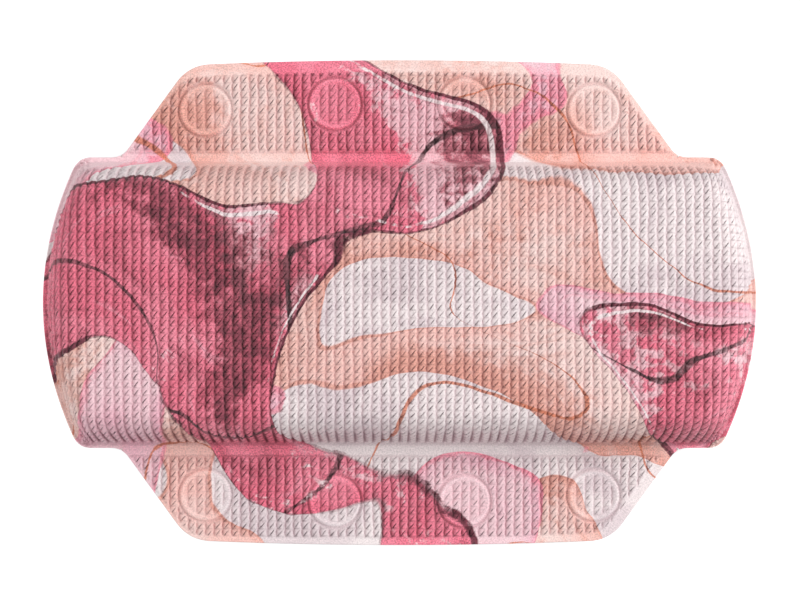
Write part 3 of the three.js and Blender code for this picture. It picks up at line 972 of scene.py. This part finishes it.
class Finish:
    """A material or a world whose nodes are added one by one."""

    def __init__(self, name, kind=bpy.data.materials, shader="Principled BSDF"):
        self.made = kind.new(name)
        self.made.use_nodes = True
        self.tree = self.made.node_tree
        self.shader = self.tree.nodes[shader]

    def feed(self, socket, value):
        if isinstance(value, bpy.types.NodeSocket):
            self.tree.links.new(value, socket)
        else:
            socket.default_value = value

    def node(self, kind, inputs, **settings):
        """Adds a node and gives its outputs."""
        made = self.tree.nodes.new(kind)
        for key, value in settings.items():
            setattr(made, key, value)
        for key, value in inputs.items():
            self.feed(made.inputs[key], value)
        return made.outputs

    def sheet(self):
        return self.node("ShaderNodeUVMap", {}, uv_map="Sheet")["UV"]

    def place(self):
        return self.node("ShaderNodeTexCoord", {})["Object"]

    def math(self, operation, *values):
        return self.node("ShaderNodeMath", dict(enumerate(values)), operation=operation)[0]

    def part(self, factor, share):
        return self.math("MULTIPLY", factor, share)

    def vector(self, operation, *values):
        return self.node("ShaderNodeVectorMath", dict(enumerate(values)), operation=operation)[0]

    def scaled(self, vector, factor):
        inputs = {0: vector, "Scale": factor}
        return self.node("ShaderNodeVectorMath", inputs, operation="SCALE")[0]

    def noise(self, vector, scale, detail=2.0, roughness=0.5, out="Fac"):
        inputs = {"Vector": vector, "Scale": scale, "Detail": detail, "Roughness": roughness}
        return self.node("ShaderNodeTexNoise", inputs)[out]

    def range(self, *values, kind="LINEAR"):
        """A value whose low and high, the next two, become the last two."""
        return self.node("ShaderNodeMapRange", dict(enumerate(values)), interpolation_type=kind)[0]

    def step(self, value, low, high):
        """0 below low and 1 above high, with a smooth step between them."""
        return self.range(value, low, high, 0, 1, kind="SMOOTHSTEP")

    def mix(self, factor, a, b):
        return self.node("ShaderNodeMix", {0: factor, 6: a, 7: b}, data_type="RGBA")[2]

    def attribute(self, name):
        return self.node("ShaderNodeAttribute", {}, attribute_name=name)["Fac"]

    def bump(self, height, distance):
        return self.node("ShaderNodeBump", {"Height": height, "Distance": distance})[0]

    def finish(self, **values):
        for key, value in values.items():
            self.feed(self.shader.inputs[key.replace("_", " ")], value)
        return self.made


def hair(f, field, level, width, uneven):
    """A thin line along a level of a field, its width uneven."""
    off = f.math("ABSOLUTE", f.math("SUBTRACT", field, level))
    wide = f.range(uneven, 0.32, 0.68, 0.15 * width, 1.7 * width)
    return f.step(f.math("DIVIDE", off, wide), 1.15, 0.6)


def warped(f, place, scale, reach, detail):
    """A place moved about by coloured noise, by up to about half of reach."""
    shift = f.noise(place, scale, detail, 0.5, "Color")
    shift = f.scaled(f.vector("SUBTRACT", shift, (0.5, 0.5, 0.5)), reach)
    return f.vector("ADD", place, shift)


def marbled_print(f):
    """Marbled washes of rose, pink and peach over a blush ground: fields bounded by the
    level lines of warped noise, blotted with ragged pools, some of them lined in wine."""
    sheet = f.vector("ADD", f.sheet(), PRINT_PLACE)
    flow = sheet
    for warp in PRINT_WARPS:
        flow = warped(f, flow, *warp)
    stretched = f.vector("MULTIPLY", flow, PRINT_STRETCH)

    mottle = f.noise(warped(f, sheet, 6.0, 0.1, 1.0), 16, 5, 0.66)
    bloom = f.noise(flow, 3.0, 5, 0.62)
    ragged = f.range(mottle, 0.3, 0.7, -0.09, 0.09)

    def field(place, scale):
        return f.noise(f.vector("ADD", stretched, place), scale, 0.0)

    def streaks(value, pace):
        along = f.node("ShaderNodeCombineXYZ", {2: f.part(value, pace)})[0]
        return f.noise(f.vector("ADD", flow, along), 1.6, 4, 0.6)

    def pools(place, scale):
        spread = f.noise(f.vector("ADD", flow, place), scale, 2, 0.5)
        return f.math("ADD", spread, ragged)

    dark_pools = pools((30.3, 13.6, 0), 1.15)
    light_pools = pools((18.4, -23.3, 0), 1.3)
    uneven = f.range(bloom, 0.3, 0.7, -0.6, 0.6)

    blush = f.mix(f.step(bloom, 0.42, 0.62), BLUSH, DUSK)
    peaches = field((3.1, 7.7, 0), 1.0)
    wash = f.math("ADD", f.range(peaches, 0.46, 0.62, 1.0, 0.1), uneven)
    peach = f.mix(f.step(wash, 0.0, 1.0), PALE_PEACH, PEACH)
    peach = f.mix(f.part(f.step(dark_pools, 0.44, 0.62), 0.85), peach, DEEP_PEACH)
    peach = f.mix(f.part(f.step(streaks(peaches, 18), 0.5, 0.7), 0.5), peach, DEEP_PEACH)
    peach = f.mix(f.part(f.step(mottle, 0.5, 0.8), 0.5), peach, DEEP_PEACH)
    peach = f.mix(f.part(f.step(light_pools, 0.5, 0.66), 0.6), peach, PALE_PEACH)
    colour = f.mix(f.step(peaches, 0.456, 0.462), blush, peach)
    colour = f.mix(f.part(hair(f, peaches, 0.462, 0.004, bloom), 0.7), colour, DEEP_PEACH)

    pinks = field((11.3, 2.9, 0), 1.15)
    wash = f.math("ADD", f.range(pinks, 0.53, 0.68, 0.9, 0.1), uneven)
    pink = f.mix(f.step(wash, 0.0, 1.0), PALE_PINK, PINK)
    pink = f.mix(f.part(f.step(streaks(pinks, 22), 0.52, 0.7), 0.35), pink, ROSE)
    rim = f.step(f.math("ADD", pinks, f.part(ragged, 0.4)), 0.592, 0.56)
    pink = f.mix(f.part(f.part(rim, f.step(dark_pools, 0.4, 0.56)), 0.8), pink, ROSE)
    colour = f.mix(f.step(pinks, 0.553, 0.558), colour, pink)
    colour = f.mix(f.part(hair(f, pinks, 0.557, 0.0045, mottle), 0.6), colour, ROSE)

    orange = hair(f, field((38.2, 4.6, 0), 0.85), 0.5, 0.0034, dark_pools)
    colour = f.mix(f.part(orange, 0.85), colour, ORANGE)

    roses = field((21.7, 5.3, 0), 0.95)
    inside = f.step(roses, 0.553, 0.556)
    grained = streaks(roses, 14)
    rose = f.mix(f.step(bloom, 0.36, 0.6), ROSE, DEEP_ROSE)
    rose = f.mix(f.part(f.step(grained, 0.42, 0.3), 0.45), rose, PINK)
    rose = f.mix(f.part(f.step(light_pools, 0.55, 0.61), 0.8), rose, PALE_PINK)
    rose = f.mix(f.part(f.step(grained, 0.5, 0.68), 0.5), rose, WINE)
    rose = f.mix(f.part(f.step(dark_pools, 0.54, 0.63), 0.8), rose, WINE)
    soaked = f.part(f.step(dark_pools, 0.6, 0.69), f.step(mottle, 0.34, 0.6))
    rose = f.mix(f.part(soaked, 0.8), rose, LINE)
    colour = f.mix(inside, colour, rose)
    lined = f.range(dark_pools, 0.4, 0.54, 0.25, 1.0)
    outline = f.part(hair(f, roses, 0.5545, 0.0058, dark_pools), lined)
    colour = f.mix(outline, colour, LINE)
    vein = f.part(hair(f, field((47.5, 8.2, 0), 1.0), 0.5, 0.0105, dark_pools), inside)
    colour = f.mix(f.part(vein, f.range(mottle, 0.4, 0.6, 1.0, 0.55)), colour, INK)
    gleam = f.part(hair(f, roses, 0.58, 0.0045, light_pools), f.step(light_pools, 0.5, 0.58))
    return f.mix(f.part(gleam, 0.9), colour, BLUSH)


def stitch_cuts(f):
    """The stitches' grooves and nicks, finer than the mesh holds them, as masks for their painted
    shade and their bump.
    """
    cells = f.vector("MULTIPLY", f.sheet(), (SHEET_UNIT / COLUMN, SHEET_UNIT / ROW, 0))
    parts = f.node("ShaderNodeSeparateXYZ", {0: cells})
    u, v = f.math("FRACT", parts[0]), f.math("FRACT", parts[1])
    cell = f.vector("FLOOR", cells)
    chance = f.node("ShaderNodeTexWhiteNoise", {"Vector": cell}, noise_dimensions="2D")
    chance = f.node("ShaderNodeSeparateXYZ", {0: chance["Color"]})
    run = (NICK_END[0] - NICK_START[0]) * COLUMN
    climb = (NICK_END[1] - NICK_START[1]) * ROW
    length = math.hypot(run, climb)
    right = f.part(f.math("SUBTRACT", u, NICK_START[0]), COLUMN)
    up = f.part(f.math("SUBTRACT", v, NICK_START[1]), ROW)
    across = f.math("SUBTRACT", f.part(right, climb / length), f.part(up, run / length))
    across = f.math("ADD", across, f.range(chance[0], 0, 1, -0.2, 0.2))
    along = f.math("ADD", f.part(right, run / length), f.part(up, climb / length))
    along = f.math("ADD", along, f.range(chance[1], 0, 1, -0.5, 0.5))
    uneven = f.part(f.range(f.noise(f.sheet(), 24, 2, 0.6), 0.35, 0.62, 0.5, 1.15),
                  f.range(chance[2], 0, 1, 0.5, 1.2))
    nick = f.part(f.step(f.math("ABSOLUTE", across), NICK_WIDTH, 0.0), uneven)
    ends = f.part(f.step(along, 0.0, 0.5), f.step(along, length + 0.1, length - 0.8))
    side = f.math("MINIMUM", f.part(u, GROOVE_LEAN), f.math("SUBTRACT", 1.0, u))
    groove = f.step(f.part(side, COLUMN), GROOVE_WIDTH, 0.0)
    wander = f.range(f.noise(f.sheet(), 60, 2, 0.6), 0.3, 0.7, -0.14, 0.14)
    bowed = f.math("ADD", v, f.part(f.math("SINE", f.part(u, math.pi)), JOINT_BOW))
    off_row = f.math("ABSOLUTE", f.math("SUBTRACT", f.math("PINGPONG", bowed, 0.5), wander))
    joint = f.part(f.step(f.part(off_row, ROW), JOINT_WIDTH, 0.0), f.range(u, 0.3, 0.8, 0.9, 0.45))
    ticks = f.part(f.step(f.noise(f.sheet(), 95, 1, 0.6), 0.63, 0.7), 0.5)
    groove = f.math("MAXIMUM", groove, f.math("MAXIMUM", joint, ticks))
    pattern = f.attribute("pattern")
    return f.part(f.part(nick, ends), pattern), f.part(groove, pattern)


def printed_foam():
    """The print on its embossed sheet, with painted shade: what lies deep is painted darker,
    the more so where the print is dark and throws little light back into the groove."""
    f = Finish("printed_foam")
    sheet = f.sheet()
    nicks, grooves = stitch_cuts(f)
    speckle = f.noise(sheet, 135, 2, 0.75)
    grain = f.noise(sheet, 230, 3, 0.6)
    print_colour = marbled_print(f)
    light = f.node("ShaderNodeRGBToBW", {0: print_colour})[0]
    pale = f.step(light, 0.1, 0.85)
    # Painted shade: hollows, the crease at the foot, the end walls' creases, the rings' grooves
    # and the flaps' root crease are painted darker, the more so in a dark print
    depth = f.math("MAXIMUM", f.attribute("depth"), f.part(grooves, 0.8))
    shade = f.mix(depth, WHITE, f.mix(pale, DARK_GROOVE_SHADE, PALE_GROOVE_SHADE))
    # Painted shade in the nicks
    cut = f.mix(nicks, WHITE, f.mix(pale, DARK_NICK_SHADE, PALE_NICK_SHADE))
    # Painted shade on the flange at the pad's ends
    cut = f.vector("MULTIPLY", cut, f.mix(f.attribute("pressed"), WHITE, FLANGE_SHADE))
    # Painted shade in the grooves of the lower wall
    cut = f.vector("MULTIPLY", cut, f.mix(f.attribute("lower"), WHITE, LOWER_SHADE))
    colour = f.vector("MULTIPLY", print_colour, f.vector("MULTIPLY", shade, cut))
    strength = f.range(pale, 0, 1, DARK_FLECKS, PALE_FLECKS)
    flecks = f.part(f.range(speckle, 0.38, 0.62, -1.1, 0.8), strength)
    flecks = f.part(flecks, f.range(f.attribute("pattern"), 0, 1, 1, STITCHED_FLECKS))
    relief = f.math("MAXIMUM", f.part(nicks, 0.5), f.part(grooves, 0.3))
    return f.finish(
        Base_Color=f.scaled(colour, f.math("ADD", 1.0, flecks)),
        Roughness=f.range(speckle, 0.3, 0.7, 0.5, 0.68),
        Normal=f.bump(f.math("SUBTRACT", f.part(grain, 0.3), relief), MM),
        Specular_IOR_Level=0.4,
        Sheen_Weight=0.08,
        Sheen_Roughness=0.5,
    )


def back_vinyl():
    f = Finish("back_vinyl")
    sheet = f.sheet()
    cloud = f.noise(sheet, 4, 3, 0.5)
    grain = f.noise(sheet, 90, 3, 0.6)
    cells = f.node("ShaderNodeTexVoronoi", {"Vector": sheet, "Scale": 70.0})["Distance"]
    return f.finish(
        Base_Color=f.scaled(CREAM[:3], f.range(cloud, 0.3, 0.7, 0.95, 1.02)),
        Roughness=f.range(grain, 0.3, 0.7, 0.36, 0.52),
        Normal=f.bump(f.math("ADD", f.part(grain, 0.12), f.part(cells, 0.10)), MM),
        Specular_IOR_Level=0.5,
    )


def core_foam():
    f = Finish("core_foam")
    place = f.place()
    pores = f.node("ShaderNodeTexVoronoi", {"Vector": place, "Scale": 700.0})["Distance"]
    tone = f.range(f.noise(place, 60, 3, 0.6), 0.3, 0.7, 0.92, 1.03)
    return f.finish(
        Base_Color=f.scaled(FOAM[:3], tone),
        Roughness=0.95,
        Normal=f.bump(f.part(pores, 0.6), MM),
    )


def clear_vinyl():
    f = Finish("clear_vinyl")
    haze = f.noise(f.place(), 90, 3, 0.6)
    flow = f.noise(f.place(), 260, 2, 0.5)
    return f.finish(
        Base_Color=(0.93, 0.95, 0.97, 1),
        Roughness=f.range(haze, 0.3, 0.7, 0.12, 0.26),
        Normal=f.bump(f.part(flow, 0.05), MM),
        Transmission_Weight=0.8,
        IOR=1.5,
    )


# Light and floor


def floor():
    mesh = bpy.data.meshes.new("floor")
    side = FLOOR_HALF_SIDE
    corners = [(-side, -side, 0), (side, -side, 0), (side, side, 0), (-side, side, 0)]
    mesh.from_pydata(corners, [], [(0, 1, 2, 3)])
    obj = linked("floor", mesh)
    obj.location.z = FLOOR_LEVEL
    f = Finish("floor")
    rays = f.node("ShaderNodeLightPath", {})
    seen = f.math("MAXIMUM", rays["Is Camera Ray"], rays["Is Glossy Ray"])
    seen = f.math("MAXIMUM", seen, rays["Is Transmission Ray"])
    f.finish(
        Base_Color=(0.45, 0.45, 0.45, 1),
        Roughness=0.9,
        Specular_IOR_Level=0.0,
        Emission_Color=WHITE,
        Emission_Strength=f.part(seen, FLOOR_GLOW),
    )
    mesh.materials.append(f.made)


def lamp(name, place, size, watts):
    data = bpy.data.lights.new(name, "AREA")
    data.energy = watts
    data.size = size
    obj = linked(name, data)
    obj.location = place
    obj.rotation_euler = (-Vector(place)).to_track_quat("-Z", "Y").to_euler()


def world():
    """An even light, in front of which the camera sees white."""
    f = Finish("world", bpy.data.worlds, "Background")
    bpy.context.scene.world = f.finish(Color=WHITE, Strength=AMBIENT)
    seen = f.node("ShaderNodeBackground", {"Color": WHITE})[0]
    camera_ray = f.node("ShaderNodeLightPath", {})["Is Camera Ray"]
    mixed = f.node("ShaderNodeMixShader", {0: camera_ray, 1: f.shader.outputs[0], 2: seen})
    f.feed(f.tree.nodes["World Output"].inputs["Surface"], mixed[0])


# The pillow, piece by piece


def dressed(obj, material, slot, *nodes):
    obj.data.materials.append(material)
    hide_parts(*nodes)
    return obj


def build():
    foam, vinyl, clear = printed_foam(), back_vinyl(), clear_vinyl()
    cover = dressed(pad_cover(), foam, "printed_foam", "pad_front_cover")
    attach(cover, "pad")
    core = dressed(foam_block(), core_foam(), "core_foam", "foam_core")
    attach(core, "pad")
    back = dressed(pad_back(), vinyl, "back_vinyl", "pad_back_sheet")
    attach(back, "pad")
    for side, panel in (("upper", UPPER_PANEL), ("lower", LOWER_PANEL)):
        flap = "%s_flap" % side
        face = dressed(flap_face(side, *panel), foam, "printed_foam", flap + "_front_sheet")
        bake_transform(face)
        lining = dressed(flap_back(side), vinyl, "back_vinyl", flap + "_back_sheet")
        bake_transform(lining)
        for number, centre in enumerate(cup_centres(side), 1):
            node = "%s_suction_cup_%d" % (flap, number)
            cup = suction_cup("%s_clear_cup_%d" % (flap, number), centre)
            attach(dressed(cup, clear, "clear_vinyl", node), flap)


build()
floor()
lamp("key", *KEY)
lamp("fill", *FILL)
world()
bpy.context.scene.view_settings.view_transform = "Standard"
